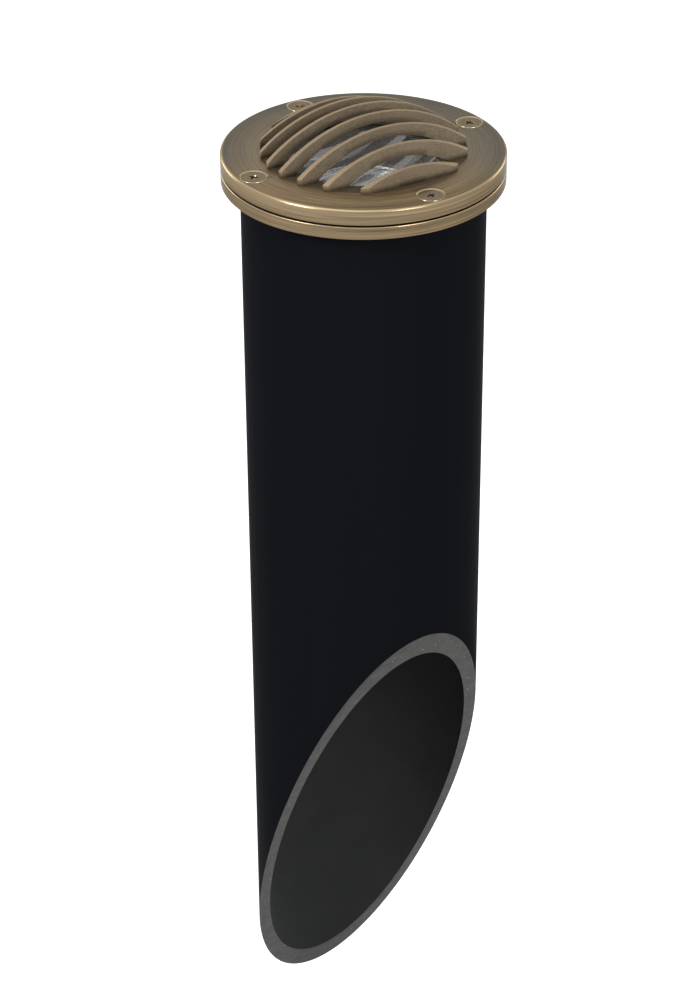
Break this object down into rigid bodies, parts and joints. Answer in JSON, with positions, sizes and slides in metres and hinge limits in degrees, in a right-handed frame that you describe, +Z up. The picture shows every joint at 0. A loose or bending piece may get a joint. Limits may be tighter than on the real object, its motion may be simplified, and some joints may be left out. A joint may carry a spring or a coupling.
{
  "type": "in ground well light",
  "caption": "Buried well light: domed brass grate cover over a tilting lamp in a sealed cup, held by a flange on a slant-cut pipe sleeve.",
  "frame": {"origin": "on the sleeve's axis at the underside of the mounting flange, which is the ground line", "axes": "+Z up out of the ground along the sleeve's axis; the grate's fins run along X; the sleeve's slanted cut is short at -Y and long at +Y"},
  "size_m": [0.1318, 0.1318, 0.545],
  "materials": {
    "antique_brass": "antiqued and spun, with cast fins",
    "screw_brass": "turned, lightly antiqued",
    "pipe": "satin black extruded pipe",
    "housing_plastic": "fine moulded grain",
    "gland_plastic": "moulded",
    "rubber": "moulded",
    "stainless": "brushed",
    "reflector": "faceted dichroic coating",
    "clear_glass": "clear, polished",
    "ceramic": "unglazed white",
    "lead_sleeving": "silicone sleeving",
    "connector_plastic": "moulded"
  },
  "bodies": {
    "sleeve_body": {"sleeve": "pipe", "mounting_flange": "antique_brass", "spigot_o_ring": "rubber"},
    "housing": {"lamp_housing": "housing_plastic", "housing_seal": "rubber", "gland_body": "gland_plastic", "gland_washer": "rubber", "gland_locknut": "gland_plastic", "gland_seal": "rubber", "gland_nut": "gland_plastic", "swivel_bolt": "stainless", "swivel_washer": "stainless"},
    "yoke": {"yoke": "stainless", "tilt_washers": "stainless"},
    "lamp_head": {"tilt_screws": "stainless", "gimbal_ring": "housing_plastic", "lamp_snap_ring": "stainless", "lamp_reflector": "reflector", "lamp_glass": "clear_glass", "lamp_capsule": "clear_glass", "lamp_base": "ceramic", "lamp_pins": "stainless", "lamp_socket": "ceramic", "socket_leads": "lead_sleeving", "wire_connectors": "connector_plastic"},
    "cover": {"grate_cover": "antique_brass", "cover_screws": "screw_brass", "cover_gasket": "rubber", "lens": "clear_glass", "lens_gasket": "rubber", "lens_retainer": "antique_brass", "retainer_screws": "stainless"}
  },
  "joints": [
    {"name": "housing_lift", "type": "slide", "parent": "sleeve_body", "child": "housing", "axis": [0, 0, 1], "range_m": [0, 0.13]},
    {"name": "cover_lift", "type": "slide", "parent": "housing", "child": "cover", "axis": [0, 0, 1], "range_m": [0, 0.06]},
    {"name": "lamp_swivel", "type": "hinge", "parent": "housing", "child": "yoke", "pos_m": [0, 0, -0.0945], "axis": [0, 0, 1], "range_deg": [-175, 175]},
    {"name": "lamp_tilt", "type": "hinge", "parent": "yoke", "child": "lamp_head", "pos_m": [0, 0, -0.028], "axis": [1, 0, 0], "range_deg": [-15, 15]}
  ]
}
